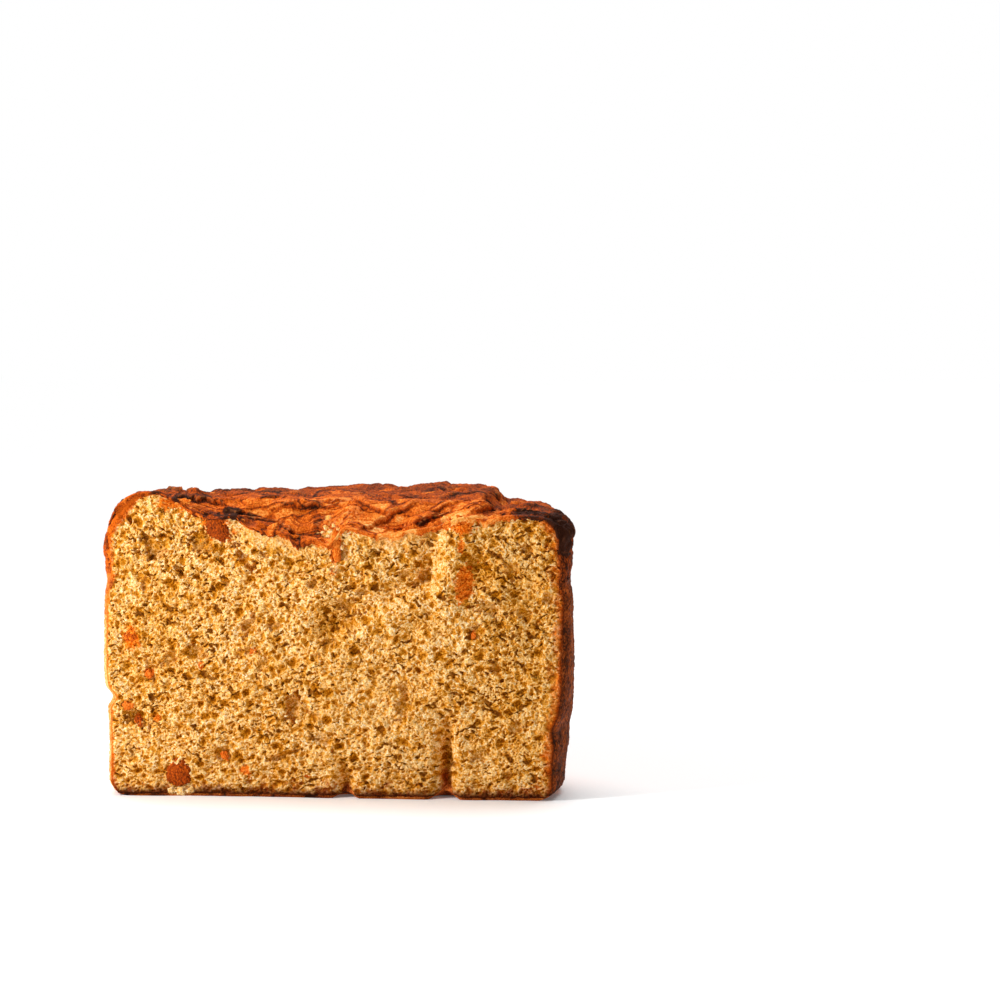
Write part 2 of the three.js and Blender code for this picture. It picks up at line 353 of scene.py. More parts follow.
# Torn hollows of the face: place, half width, half height, turn in degrees, and depth.
HOLLOWS = [
    (-16.2, 36.4, 3.6, 4.2, 20, 3.4), (-7.5, 32.6, 5.5, 0.9, -32, 1.2), (-70.6, 97.6, 3.4, 4.6, 30, 2.2),
    (-51.8, 99.6, 4, 3.4, 0, 2), (-35.6, 93.8, 4.8, 2, -48, 2.8), (-60, 88.1, 3.2, 1, -52, 2.2),
    (-27, 95.5, 2.4, 0.7, -38, 1.6), (-15.9, 17.8, 3.4, 1, 18, 2), (-22.6, 15.4, 3.2, 1.4, 20, 1.9),
    (-74.6, 83, 1.6, 2.2, 0, 1.6), (-42, 84, 1.6, 1.6, 0, 1.6), (-33.2, 67.6, 2.6, 3.4, -20, 2),
    (-22.2, 67.4, 2.4, 1.9, 0, 1.8), (-54.6, 56.2, 3, 2.5, 0, 1.9), (-64.8, 54, 2.4, 1.9, 0, 1.5),
    (-72.6, 49.4, 1.8, 3.4, 10, 1.6), (-33.4, 57.6, 2.9, 1.6, 0, 1.5), (-28, 52.4, 1.8, 2.8, -20, 1.4),
    (-78.4, 31, 4.2, 2.6, -30, 1.9), (-44, 17.2, 3.2, 2.6, -20, 1.7), (3.4, 97, 3, 3.6, 0, 1.6),
    (5, 76.6, 4, 2.6, -30, 1.7), (35.4, 87, 2.8, 2.2, 30, 1.7), (28.4, 88.4, 2.2, 1.8, 0, 1.5),
    (12, 81.2, 2.6, 1.5, 0, 1.3), (54.6, 92.8, 2.4, 2.2, 0, 1.7), (69.6, 90, 1.8, 2.4, 0, 1.7),
    (76.4, 97.8, 2.6, 2.2, 0, 1.5), (61.4, 74.8, 3, 2, -20, 1.5), (75.4, 73.2, 3.4, 1.8, 0, 1.4),
    (84, 78.6, 2.2, 2.4, 0, 1.7), (56, 65.4, 2.2, 2.2, 0, 1.4), (64, 51.2, 1.9, 2.3, 0, 1.8),
    (28, 43.2, 2, 2.2, 0, 1.4), (27.4, 36, 2, 2.6, 0, 1.5), (72.2, 28.6, 2.2, 2.6, 0, 1.7),
    (57.4, 17.6, 2.6, 2.2, 0, 1.3), (68.6, 9.6, 2.2, 1.6, 0, 1.8), (47.5, 13.5, 1.4, 1.2, 0, 1.8),
    (-4, 22.6, 3.2, 1.7, -30, 1.3), (-7.4, 84, 2.2, 1.9, 0, 1.5), (6.4, 68.8, 2.6, 2, 0, 1.4),
    (-3, 61, 2.8, 1.8, 0, 1.5), (-6, 56, 2.2, 1.4, 0, 1.2), (2.6, 89.4, 2.4, 1.7, 0, 1.2),
]
# Wide dips where the crumb tore away: place, half width and depth.
DIPS = [(1, 69, 14, 2.1), (57, 90, 11, 2.4), (73, 82, 12, 1), (-79, 34, 7, 1.2), (-14, 92, 8, 0.7)]
# Where the crumb ends under the two shoulders: heights, and places across.
LEFT_SHOULDER = ([98, 108, 117, 121], [-93, -87, -78, -69])
RIGHT_SHOULDER = ([98, 105, 111], [99, 88, 82])
FAR_OFF = 99
# Closer crumb right under the crust: its middle, half width, and where it ends below.
CLOSE_CRUMB = [(25, 24, (3, 8)), (-22, 26, (4, 11))]
# In each furrow runs a narrower one, of this share of its depth.
INNER_FURROW = 0.7
INNER_FURROW_HALF = 3.2
# The face draws back at its foot, and its top edge tucks in under the crust.
FOOT_UNDERCUT = 2.2
TOP_TUCK = 0.9

# The browned rims: the left one's width and how baked they are, by height, and the others' widths.
BROWNED_LEFT = ([0, 5, 30, 60, 80, 96, 108, 118], [4, 2.4, 1.5, 1.2, 2, 4.2, 6, 3.4])
# At the very foot the darkest values are partly the bottom crust's own colour and partly painted shade where
# the foot turns under.
BAKED_RIM = ([0, 2, 5, 12, 45, 70, 95, 118], [1, 0.9, 0.7, 0.5, 0.4, 0.44, 0.52, 0.58])
BROWNED_RIGHT = 6.5
BROWNED_FOOT = 6

# Smears of crust that the knife rubbed into the crumb: place, half width, half height.
STAINS = [
    (51.9, 84.8, 3.8, 7.4), (50.7, 99.2, 1.6, 2.6), (55.4, 64.5, 1, 1.4), (-73, 47.8, 1.8, 1.8),
    (-35, 10, 2.4, 1.8), (-80, 62, 3.2, 5.2), (-81.4, 35.1, 1.8, 1.6), (-77.9, 30.4, 1.6, 2.2),
    (-70, 30, 1.6, 1.2), (1.4, 99, 2.4, 7.4), (-45.6, 105.6, 5.6, 4.6), (-59, 115.6, 10, 3),
    (51, 108, 4.5, 4.5),
]


def unevenness(x, z, *layers):
    """Random waves over the face: each layer has a height, a size and a seed."""
    return sum(high * lumps(x / size, seed, z / size) for high, size, seed in layers)


def turned(across, up, degrees):
    """Two distances, measured along and square to a line that is turned up from level."""
    c, s = math.cos(math.radians(degrees)), math.sin(math.radians(degrees))
    return across * c + up * s, up * c - across * s


NEIGHBOURS = [(i, j) for i in (-1, 0, 1) for j in (-1, 0, 1)]


def round_cells(x, z, size, opened, seed):
    """How deep each point lies in an opened cell: 0 outside, and up to 1 in its middle."""
    across, up = x / size, z / size
    column, row = np.floor(across), np.floor(up)
    deepest = np.zeros(np.shape(x))
    for di, dj in NEIGHBOURS:
        i, j = column + di, row + dj
        half = 0.2 + 0.26 * chance(i, j, seed + 2)
        far = np.hypot(i + chance(i, j, seed) - across, j + chance(i, j, seed + 1) - up) / half
        bowl = np.clip(1 - far ** 2, 0, 1) * (0.6 + 0.4 * chance(i, j, seed + 4))
        deepest = np.maximum(deepest, bowl * (chance(i, j, seed + 3) < opened / 100))
    return deepest


def gas_cells(x, z):
    """How deep each point of the face lies in an opened gas cell, and how much in a dark tear."""
    across = x + unevenness(x, z, (0.7, 2.6, 3), (0.5, 1, 9))
    up = np.interp(z, *PRESSED_FLAT) + unevenness(x, z, (0.7, 2.6, 21), (0.5, 1, 27))
    depth = np.zeros(len(x))
    for n, (size, opened, deep) in enumerate(CELL_SIZES):
        bowl = round_cells(across + 13 * n, up, size, opened, 200 + 10 * n)
        depth = np.maximum(depth, deep * np.sqrt(bowl))
    tear = np.zeros(len(x))
    for n, (turn, long, wide) in enumerate(TEARS):
        along, square = turned(across, up, turn)
        field = lumps(along / long, 40 + 7 * n, square / wide)
        tear = np.maximum(tear, rise(0.56, 0.7, field) * rise(-0.1, 0.3, lumps(x / 9, 60 + n, z / 9)))
    return depth + TEAR_DEPTH * tear, tear


def hollow_depths(x, z):
    depth = np.zeros(len(x))
    wobble = 1 + unevenness(x, z, (0.45, 2.2, 29), (0.4, 1, 29))
    for hollow_x, hollow_z, wide, high, turn, deep in HOLLOWS:
        along, square = turned(x - hollow_x, z - hollow_z, turn)
        far = np.hypot(along / wide, square / high) * wobble
        depth = np.maximum(depth, deep * np.clip(1.2 - far ** 2, 0, 1) ** 0.4)
    return depth


def dip_depths(x, z):
    """The wide dips, and the inner furrows, which lean and waver as they go up."""
    depth = sum(deep * bell(np.hypot(x - dip_x, z - dip_z) / half) for dip_x, dip_z, half, deep in DIPS)
    for notch_x, _, _, furrow, top in BASE_NOTCHES:
        lean = 0.05 * np.maximum(z - 10, 0)
        lean += 0.9 * lumps(z / 5, notch_x, 45) + 0.4 * lumps(z / 1.6, notch_x, 47)
        fades = fall(top * 0.6, top * 1.1, z)
        depth = depth + INNER_FURROW * furrow * bell((x - notch_x - lean) / INNER_FURROW_HALF) * fades
    return depth


def browned_rims(x, z, left, right, wobble):
    """How browned the crumb is along its rims and its foot, and how baked it is there; at the foot the
    darkest baking is partly painted shade.
    """
    width = np.interp(z, *BROWNED_LEFT)
    low_edge = np.minimum(z, 40)
    for notch_x, _, _, _, top in BASE_NOTCHES:
        low_edge = np.minimum(low_edge, 1.3 * np.abs(x - notch_x) + np.maximum(z - top * 0.3, 0) + 0.25 * z)
    browned = 1 - np.minimum.reduce([
        rise(width * 0.3, width, left * wobble), rise(0.2, BROWNED_RIGHT, right * wobble),
        rise(1, BROWNED_FOOT, low_edge * wobble)])
    baked = np.interp(z, *BAKED_RIM)
    baked = np.where(x > 60, np.maximum(baked, 0.92 - 0.19 * np.clip(right, 0, 4)), baked)
    for notch_x, *_ in BASE_NOTCHES:
        baked = np.maximum(baked, 0.78 * bell((x - notch_x) / 12) * (z < 30))
    return browned, baked


def rubbed_crust(x, z, to_top, wobble):
    """How much crust is rubbed in right under the cap, and in the stains."""
    rubbed = 0.6 * fall(0, 2, to_top * wobble)
    ragged = 1 + unevenness(x, z, (0.4, 1.5, 61), (0.3, 0.7, 63))
    for stain_x, stain_z, wide, high in STAINS:
        far = np.hypot((x - stain_x) / wide, (z - stain_z) / high) * ragged
        rubbed = np.maximum(rubbed, fall(0.7, 1.1, far))
    return rubbed


def crumb_face(across, height):
    """The cut face in millimetres, and what its finish is told of each point."""
    x, y, z = bread_point(HALF_CUT * (2 * across - 1), 0 * across, height * LOAF_HEIGHT)
    rim = HALF_CUT * (1 - np.abs(2 * across - 1))
    left = np.where(x < 0, np.minimum(rim, x - np.interp(z, *LEFT_SHOULDER)), FAR_OFF)
    right = np.where(x > 0, np.minimum(rim, np.interp(z, *RIGHT_SHOULDER) - x), FAR_OFF)
    to_top = crust_line(x) - z
    edge = np.minimum(np.minimum(left, right), z)
    close = sum(bell((x - middle) / half) * fall(*ends, to_top) for middle, half, ends in CLOSE_CRUMB)
    open_crumb = rise(-0.4, 2.2, edge) * rise(0, 2.2, to_top) * (1 - 0.8 * np.clip(close, 0, 1))
    pit, tear = gas_cells(x, z)
    hollow = hollow_depths(x, z)
    dip = dip_depths(x, z)
    pit = pit * (0.12 + 0.88 * open_crumb) * (1 - 0.35 * np.clip(hollow, 0, 1))
    torn = unevenness(x, z, (0.7, 6, 31), (0.45, 2.8, 37), (0.34, 1.3, 41), (0.2, 0.6, 43))
    under = FOOT_UNDERCUT * fall(0, 2, z) ** 2
    y = y + pit + hollow + dip + under + torn * (0.25 + 0.75 * open_crumb)
    z = z - TOP_TUCK * fall(0, 2.5, LOAF_HEIGHT * (1 - height))

    wobble = 1 + unevenness(x, z, (0.4, 3, 51), (0.3, 1.1, 53))
    browned, baked = browned_rims(x, z, left, right, wobble)
    rubbed = rubbed_crust(x, z, to_top, wobble)
    smeared = (bell((x + 20) / 24) + bell((x - 24) / 22)) * fall(2, 9, to_top * wobble)
    # The crumb is drawn a little darker towards both ends, at the right end as painted shade where the face
    # turns away from the lamp, and paler in the lower middle.
    toned = 0.06 * bell((x - 72) / 30) + 0.1 * bell((x + 70) / 24) * bell((z - 64) / 34)
    toned = toned - 0.1 * bell((x - 18) / 40) * bell((z - 36) / 40)
    told = {
        # Darker down in the cells, partly the crumb's own colour and partly painted shade, with painted shade
        # in the wide dips and furrows.
        "pit": np.clip(pit / 1.1 + 0.14 * dip + toned, 0, 1),
        # Painted shade in the torn hollows.
        "hollow": 0.88 * np.clip(hollow / 1.4, 0, 1) ** 2 * (0.75 + unevenness(x, z, (0.5, 0.9, 71))),
        # Painted shade down in the narrow tears.
        "dark": 0.8 * np.clip(tear * open_crumb, 0, 1),
        "browned": browned,
        "baked": baked,
        "stained": rubbed * (1 - 0.3 * np.clip(pit, 0, 1)),
        "smeared": 0.75 * np.clip(smeared, 0, 1),
    }
    return (x, y, z), told


def linear(red, green, blue):
    """A screen's colour, from 0 to 255, as the light that a surface sends back."""
    channels = [c / 255 for c in (red, green, blue)]
    return (*(c / 12.92 if c <= 0.04045 else ((c + 0.055) / 1.055) ** 2.4 for c in channels), 1)


def dial(node, values):
    for name, value in values.items():
        node.inputs[name].default_value = value
    return node


class Finish:
    """A procedural material being put together."""

    def __init__(self, name):
        self.material = bpy.data.materials.new(name)
        self.material.use_nodes = True
        self.tree = self.material.node_tree
        self.shader = self.tree.nodes["Principled BSDF"]
        self.place = self.add("ShaderNodeTexCoord").outputs["Object"]

    def add(self, kind, **settings):
        node = self.tree.nodes.new(kind)
        for key, value in settings.items():
            setattr(node, key, value)
        return node

    def link(self, source, target):
        self.tree.links.new(source, target)

    def told(self, name):
        return self.add("ShaderNodeAttribute", attribute_name=name).outputs["Fac"]

    def noise(self, size_mm, detail=3, roughness=0.55, stretch=(1, 1, 1), shift=0):
        mapping = dial(self.add("ShaderNodeMapping"), {"Scale": stretch, "Location": (shift, shift, shift)})
        self.link(self.place, mapping.inputs["Vector"])
        node = self.add("ShaderNodeTexNoise")
        dial(node, {"Scale": 1 / (size_mm * MM), "Detail": detail, "Roughness": roughness})
        self.link(mapping.outputs["Vector"], node.inputs["Vector"])
        return node.outputs["Fac"]

    def ramp(self, source, stops):
        """Colours along a value; each stop is a value and a colour."""
        node = self.add("ShaderNodeValToRGB")
        elements = node.color_ramp.elements
        while len(elements) < len(stops):
            elements.new(0.5)
        for element, (at, colour) in zip(elements, stops):
            element.position = at
            element.color = linear(*colour)
        self.link(source, node.inputs["Fac"])
        return node.outputs["Color"]

    def over(self, base, name, colour):
        """The base with a second colour over it, as much as the mesh tells under that name."""
        node = self.add("ShaderNodeMix", data_type="RGBA")
        self.link(self.told(name), node.inputs["Factor"])
        self.link(base, node.inputs["A"])
        if isinstance(colour, tuple):
            node.inputs["B"].default_value = linear(*colour)
        else:
            self.link(colour, node.inputs["B"])
        return node.outputs["Result"]

    def sum(self, start, *terms):
        """A start plus each term, which is a socket and its weight."""
        total = None
        for source, weight in terms:
            node = dial(self.add("ShaderNodeMath", operation="MULTIPLY_ADD"), {1: weight, 2: start})
            self.link(source, node.inputs[0])
            if total is not None:
                self.link(total, node.inputs[2])
            total = node.outputs[0]
        return total

    def bump(self, height, depth_mm, strength):
        node = dial(self.add("ShaderNodeBump"), {"Strength": strength, "Distance": depth_mm * MM})
        self.link(height, node.inputs["Height"])
        self.link(node.outputs["Normal"], self.shader.inputs["Normal"])

    def surface(self, colour, roughness, shine):
        self.link(colour, self.shader.inputs["Base Color"])
        dial(self.shader, {"Roughness": roughness, "Specular IOR Level": shine})


# Crumb from the walls of its cells down to their bottoms: the darker colour down in the cells is partly the
# crumb's own and partly painted shade.
CRUMB_COLOURS = [
    (0, (255, 238, 204)), (0.22, (250, 204, 130)), (0.5, (228, 156, 54)), (0.8, (188, 114, 14)),
    (1, (134, 70, 2)),
]
# Crumb smeared with a little crust, painted shade inside a torn hollow, and crumb with crust rubbed in.
SMEARED_COLOURS = [(0.3, (250, 202, 134)), (0.5, (226, 154, 74)), (0.7, (196, 116, 40))]
HOLLOW_SHADE_COLOURS = [(0.36, (214, 138, 16)), (0.6, (156, 88, 0))]
RUBBED_COLOURS = [(0.36, (252, 158, 56)), (0.5, (238, 110, 14)), (0.64, (194, 76, 4))]
# Painted shade for the crumb's narrow tears.
TEAR_SHADE_COLOUR = (124, 68, 20)
# Crust from barely coloured to nearly burnt.
BAKED_COLOURS = [
    (0.1, (252, 200, 126)), (0.3, (246, 154, 64)), (0.5, (220, 103, 22)), (0.7, (170, 69, 12)),
    (0.87, (110, 44, 12)), (1, (58, 28, 16)),
]


def crumb_finish():
    """Crumb, darker down in its cells partly in its own colour and partly as painted shade, with painted
    shade in its hollows and tears, and with what the crust left on it.
    """
    finish = Finish("baked_crumb")
    mottle = finish.noise(9, detail=4)
    grain = finish.noise(0.75, detail=4, roughness=0.65, shift=0.3)
    depth = finish.sum(-0.72, (finish.told("pit"), 0.68), (grain, 1.6), (mottle, 0.4))
    base = finish.ramp(depth, CRUMB_COLOURS)
    base = finish.over(base, "smeared", finish.ramp(grain, SMEARED_COLOURS))
    base = finish.over(base, "hollow", finish.ramp(grain, HOLLOW_SHADE_COLOURS))
    base = finish.over(base, "dark", TEAR_SHADE_COLOUR)
    crust = finish.ramp(finish.sum(-0.25, (finish.told("baked"), 1), (grain, 0.5)), BAKED_COLOURS)
    base = finish.over(base, "browned", crust)
    base = finish.over(base, "stained", finish.ramp(grain, RUBBED_COLOURS))
    finish.surface(base, roughness=0.8, shine=0.02)
    finish.bump(finish.noise(0.7, detail=4), 0.45, 0.8)
    return finish.material


crumb_material = crumb_finish()
for n in range(CRUMB_LENGTHS):
    name = f"crumb_{n + 1}"
    mesh, along, up = grid_mesh(name, CRUMB_COLUMNS, CRUMB_ROWS)
    points, told = crumb_face((n + along) / CRUMB_LENGTHS, up)
    place(mesh, in_metres(*points))
    tell(mesh, **told)
    close_behind(mesh, shrink=(0.97, 1, 0.93), shift=(0, 0.009, 0.003))
    show(mesh, name, crumb_material)


# ------------------------------
# The cap: the crust over the top and round the shoulder, baked to a thin brown skin. It rose over the tin's
# rim and then sank, so it lies in folds and flakes, and the knife dragged its front edge down over the face.

# The cap is laid out as a square seen from above: the share on the top, how far down the rest goes, the front
# sheet's share, how far the rear one laps under it, and the lip's share.
FLAT_SHARE = 0.76
CAP_BOTTOM = 84
FRONT_SHARE = 0.15
OVERLAP = 0.004
LIP_SHARE = 0.05

# Its two sheets: start and end from front to back, and columns and rows.
CAP_SHEETS = [("cap_front", 0, FRONT_SHARE, 640, 140), ("cap_rear", FRONT_SHARE - OVERLAP, 1, 430, 220)]

# Folds where one layer of skin lies over the next: from place to place, its width and its thickness.
FOLDS = [
    (-64, 117.6, -39, 115.2, 4, 1.6), (-26.6, 114.6, 5, 116.2, 4, 1.6), (-36, 110.9, -19, 109.8, 3.4, 1),
    (-21, 110.4, -10, 99.6, 6, 1.3), (-46, 113.4, -30, 112.2, 3, 1.2), (7, 118.6, 25, 110.4, 6, 1.8),
    (10, 105.4, 34, 116.4, 6, 2), (30, 108.6, 42, 112, 4, 1.4), (37, 112.6, 50, 117.6, 4, 1.5),
    (51, 113.4, 71, 115.4, 6, 1.8), (69, 112.6, 86, 114.2, 4, 1.2), (-10, 117.2, 10, 118.6, 3, 1),
]
# Patches of the front that baked more or less, and some of painted shade, such as the dark one at 36.4, 108
# under the lip: place, half width, half height and by how much.
PATCHES = [
    (-40.4, 112.8, 4.4, 1.8, 0.45), (-54.5, 118.6, 10, 2, 0.3), (-26, 118.8, 5.5, 1.6, 0.28),
    (-28.5, 108.2, 9, 3.6, 0.26), (-46, 110.4, 5, 2, 0.3), (60, 115.2, 8, 2.4, 0.08),
    (-22, 101.4, 1.6, 1.3, 0.3), (-14.2, 102.2, 3, 2.4, 0.25), (-54, 114.4, 10, 2, -0.1),
    (-6.6, 108.4, 1.8, 6, 0.2), (-0.5, 110.4, 5.5, 5, -0.06), (25, 107.2, 15, 3.2, -0.08),
    (36.4, 108, 5, 2.4, 0.24), (41.5, 112.4, 3.6, 3.2, 0.12), (51.5, 112, 6, 3.6, -0.12),
    (77.5, 113, 8, 3, 0.24), (88, 106, 6, 12, 0.3), (52, 119.2, 18, 2, 0.16), (-18, 109, 11, 7, 0.06),
    (8, 112, 8, 4, 0.02), (18, 113.6, 7, 3, -0.06), (-66, 118, 3, 2, 0.1),
]
# Where the crumb shows through: place, half width, half height, and how bare.
BARE_SPOTS = [(0.2, 104.4, 3.6, 2.4, 1), (48.4, 111.4, 3.6, 1.4, 1), (-2.2, 110.6, 1.4, 1.2, 1)]
# Where the torn front edge hangs lower: place, half width, and by how much.
FLAPS = [(-14, 5, 1.2), (-27, 4, 0.8), (24, 8, 0.6), (17, 2, 1.2)]
SHORTEST_LIP = 1.1
# The crumpling, from the broadest: the plates' length, width and height, how much the painted shade in their
# creases and the painted highlights on their rims show, and how much their colours show.
CRUMPLES = [(24, 8.5, 3, 1, 0.7), (9, 4.2, 1, 0.6, 0.4), (3.2, 1.9, 0.3, 0.25, 0.15)]
PLATE_LEVEL = 0.76
PLATE_CHANCE = 0.63
# Flakes that stand up from the top: place on the plan, half length, half width, turn and lift.
FLAKES = [
    (-60, 54, 4.4, 2.6, 8, 2.4), (-71, 44, 2.6, 2, -25, 2.2), (-64, 40, 1.6, 1.3, 20, 1.6),
    (61, 50, 3.6, 2.4, 12, 2), (67, 46, 1.8, 1.4, -20, 2), (-16, 84, 3.4, 2, -5, 1.2),
    (22, 90, 4.4, 2.2, 6, 1.1), (2, 40, 4.2, 2.6, 30, 1), (38, 66, 3.2, 2.2, -14, 1.2),
    (-38, 62, 3.8, 2.2, 16, 1.1),
]
# Between these distances from the cut the front's folds and patches fade out.
FRONT_ENDS = (14, 22)


def plates(x, y, z, seed, layers):
    """Plates about one unit across that push up against each other: their height, each point's distance from
    its plate's edge, and the plate's own chance."""
    column, row, layer = np.floor(x), np.floor(y), np.floor(z)
    highest, second = np.full(x.shape, -9.0), np.full(x.shape, -9.0)
    own = np.zeros(x.shape)
    for di, dj, dk in [(di, dj, dk) for di, dj in NEIGHBOURS for dk in layers]:
        i, j, k = column + di, row + dj, seed + 7.3 * (layer + dk)
        dx, dy = x - i - chance(i, j, k), y - j - chance(i, j, k + 1)
        dz = z - layer - dk - chance(i, j, k + 2)
        luck = chance(i, j, k + 3)
        tilt = (chance(i, j, k + 4) - 0.5) * dx + (chance(i, j, k + 5) - 0.5) * dy + (luck - 0.5) * dz
        level = 0.6 + 0.4 * luck + 1.5 * tilt - 0.8 * (dx * dx + dy * dy + dz * dz)
        second = np.maximum(second, np.minimum(level, highest))
        own = np.where(level > highest, luck, own)
        highest = np.maximum(highest, level)
    return np.array([highest, highest - second, own])


def seen_from_front(x, y, z):
    """Where a point of the cap shows on the plane of the cut face."""
    return x + 0.1 * y, z + 0.063 * y


def crumple_plates(x, y, z, along, warp, on_top):
    """The skin's crumpled plates: the height of the two broader sizes and of all, how deep a point lies in a
    crease, for painted shade, how much it lies on a plate's raised rim, for a painted highlight, and its
    plate's chance."""
    total, crease, rim, chances = (np.zeros(x.shape) for _ in range(4))
    top, rest = on_top > 0, on_top < 1
    for n, (long, wide, high, shows, differs) in enumerate(CRUMPLES):
        told = np.zeros((3, len(x)))
        u, v = (x + warp) / long, (along + warp) / wide
        told[:, top] += on_top[top] * plates(u[top], v[top], 0 * u[top], 300 + 10 * n, (0,))
        u, v, w = (x + warp) / (long * 0.6), (y + warp) / (wide * 1.2), z / wide
        told[:, rest] += (1 - on_top[rest]) * plates(u[rest], v[rest], w[rest], 400 + 10 * n, (-1, 0, 1))
        level, edge, own = told
        total = total + high * (level - PLATE_LEVEL) + 0.4 * high * (own - PLATE_CHANCE) * rise(0, 0.1, edge)
        crease = np.maximum(crease, fall(0, 0.1, edge) * shows)
        rim = np.maximum(rim, bell((edge - 0.13) / 0.05) * rise(0.5, 0.8, own) * shows)
        chances = chances + (own - PLATE_CHANCE) * differs
        if n == 1:
            broad = total
    return broad, total, crease, rim, chances


def front_folds(x, y, z):
    """The folded layers at the front: their height, their creases for painted shade and their rims for
    painted highlights.
    """
    seen_x, seen_z = seen_from_front(x, y, z)
    at_front = fall(*FRONT_ENDS, y)
    waves = unevenness(x, z, (0.8, 4, 17), (0.4, 1.5, 19))
    height, crease, rim = (np.zeros(x.shape) for _ in range(3))
    for x0, z0, x1, z1, wide, thick in FOLDS:
        long = math.hypot(x1 - x0, z1 - z0)
        share = ((seen_x - x0) * (x1 - x0) + (seen_z - z0) * (z1 - z0)) / long ** 2
        over = ((seen_z - z0) * (x1 - x0) - (seen_x - x0) * (z1 - z0)) / long + waves
        body = np.sin(math.pi * np.clip(share, 0, 1)) ** 0.6 * at_front
        height = height + thick * body * rise(-0.3, 0.2, over) * fall(0.3, wide, over)
        crease = np.maximum(crease, body * fall(0.1, 0.8, np.abs(over + 0.6)))
        rim = np.maximum(rim, body * fall(0.05, 0.3, np.abs(over - 0.3)))
    return height, crease, rim


def loose_flakes(x, y):
    """The flakes on the top: their height, and the painted shade round each."""
    height, flake_shade = np.zeros(x.shape), np.zeros(x.shape)
    ragged = 1 + 0.25 * lumps(x / 2, y / 2, 131) + 0.15 * lumps(x / 0.8, y / 0.8, 133)
    for flake_x, flake_y, half_long, half_wide, turn, lift in FLAKES:
        along, square = turned(x - flake_x, y - flake_y, turn)
        far = np.hypot(along / half_long, square / half_wide) * ragged
        height = height + lift * fall(0.85, 1, far) * (0.85 + 0.15 * (x - flake_x) / half_long)
        flake_shade = np.maximum(flake_shade, 0.8 * bell((far - 1.06) / 0.12))
    return height, flake_shade


def crumpled(x, y, z):
    """The relief of the cap's skin in millimetres: its broad folds and all of it, its creases for painted
    shade, its painted highlights with the pale specks of crumb, and its plates' chances."""
    at_end = rise(78, 88, np.abs(x))
    on_top = (1 - at_end) * fall(16, 34, y)
    along = y + 0.7 * crust_drop(x) * rise(0, DRAG_DEPTH, y)
    warp = 2.6 * lumps(x / 12, along / 8, z / 9 + 71) + 1.2 * lumps(x / 4, along / 3, z / 4 + 73)
    broad, height, crease, rim, chances = crumple_plates(x, y, z, along, warp, on_top)
    folds, fold_crease, fold_rim = front_folds(x, y, z)
    flakes, flake_shade = loose_flakes(x, y)

    # The grain is coarser in rough patches of the front, and specks of crumb cling at two places.
    grain = 0.2 * lumps(x / 1.1, y / 1.1, z / 1.1) + 0.14 * lumps(x / 0.5, y / 0.5, z / 0.5)
    rough = rise(-0.1, 0.3, lumps(x / 9, 37, along / 6)) * fall(16, 26, y)
    grain = grain + 0.3 * rough * lumps(x / 0.9, 39, along / 0.7)
    crumbly = rough * np.maximum(bell((x - 2) / 14), bell((x - 50) / 14)) * rise(0.8, 2.4, y)
    specks = 0.8 * crumbly * rise(0.25, 0.45, lumps(x / 0.8, 41, along / 0.8))

    wrinkle = fall(0.02, 0.16, np.abs(lumps((x + warp) / 10, 33, (along + warp) / 2.6)))
    wrinkle = wrinkle * on_top * rise(-0.2, 0.4, lumps(x / 14, 35, along / 8))
    # Painted shade in the plates' and folds' creases, round the flakes and in the wrinkles, less further
    # back.
    crease = np.maximum.reduce([crease, fold_crease, flake_shade, 0.7 * wrinkle]) * (1 - 0.6 * rise(20, 50, y))
    # Painted highlights along the plates' and folds' rims, broken up and kept to the front, with the pale
    # specks of crumb.
    broken = rise(-0.1, 0.3, lumps(x / 4, y / 4, z / 4)) * rise(-0.3, 0.2, lumps(x / 0.9, y / 0.9, z / 0.9))
    in_front = rise(0.8, 2.4, y) * fall(20, 30, y) * rise(-44, -30, x) * fall(48, 56, x)
    rim = np.maximum(np.maximum(rim, fold_rim) * broken * in_front, specks)
    lowered = 1.2 * rise(12, 26, y) + 0.4 * at_end + 0.4 * wrinkle
    return broad + folds + flakes, height + folds + flakes + grain - lowered, crease, rim, chances


def spots(x, y, z, places):
    """How much each point lies in a list of soft-edged spots."""
    seen_x, seen_z = seen_from_front(x, y, z)
    ragged = 1 + unevenness(x, z, (0.35, 3, 61), (0.35, 1.1, 63))
    total = 0
    for spot_x, spot_z, wide, high, amount in places:
        far = np.hypot((seen_x - spot_x) / wide, (seen_z - spot_z) / high) * ragged
        total = total + amount * fall(0.6, 1.15, far)
    return total * fall(*FRONT_ENDS, y)


def lip_drop(x):
    """How far the crust's torn front edge hangs down over the crumb."""
    drop = 0.9 + 1.0 * lumps(x / 5, 91, 0) + 1.1 * lumps(x / 1.9, 93, 0) + 0.8 * lumps(x / 0.8, 95, 0)
    for flap_x, half, hang in FLAPS:
        drop = drop + hang * np.sqrt(np.clip(1 - ((x - flap_x) / half) ** 2, 0, 1))
    return np.maximum(drop, SHORTEST_LIP)


def bulges(heights, columns):
    """How far each point of a sheet stands out from those round it."""
    rows = heights.reshape(-1, columns + 1)
    padded = np.pad(rows, 2, mode="edge")
    around = (padded[:-4, 2:-2] + padded[4:, 2:-2] + padded[2:-2, :-4] + padded[2:-2, 4:]) / 4
    return (rows - around).ravel()


# Crust that baked against the tin, which is less red than the top.
TIN_COLOURS = [
    (0.1, (250, 202, 134)), (0.3, (240, 160, 84)), (0.5, (214, 114, 46)), (0.7, (164, 76, 28)),
    (0.87, (108, 48, 18)), (1, (58, 28, 16)),
]
# Painted highlights on the crust's ridges, and pale specks of crumb.
HIGHLIGHT_AND_SPECK_COLOUR = (250, 164, 92)
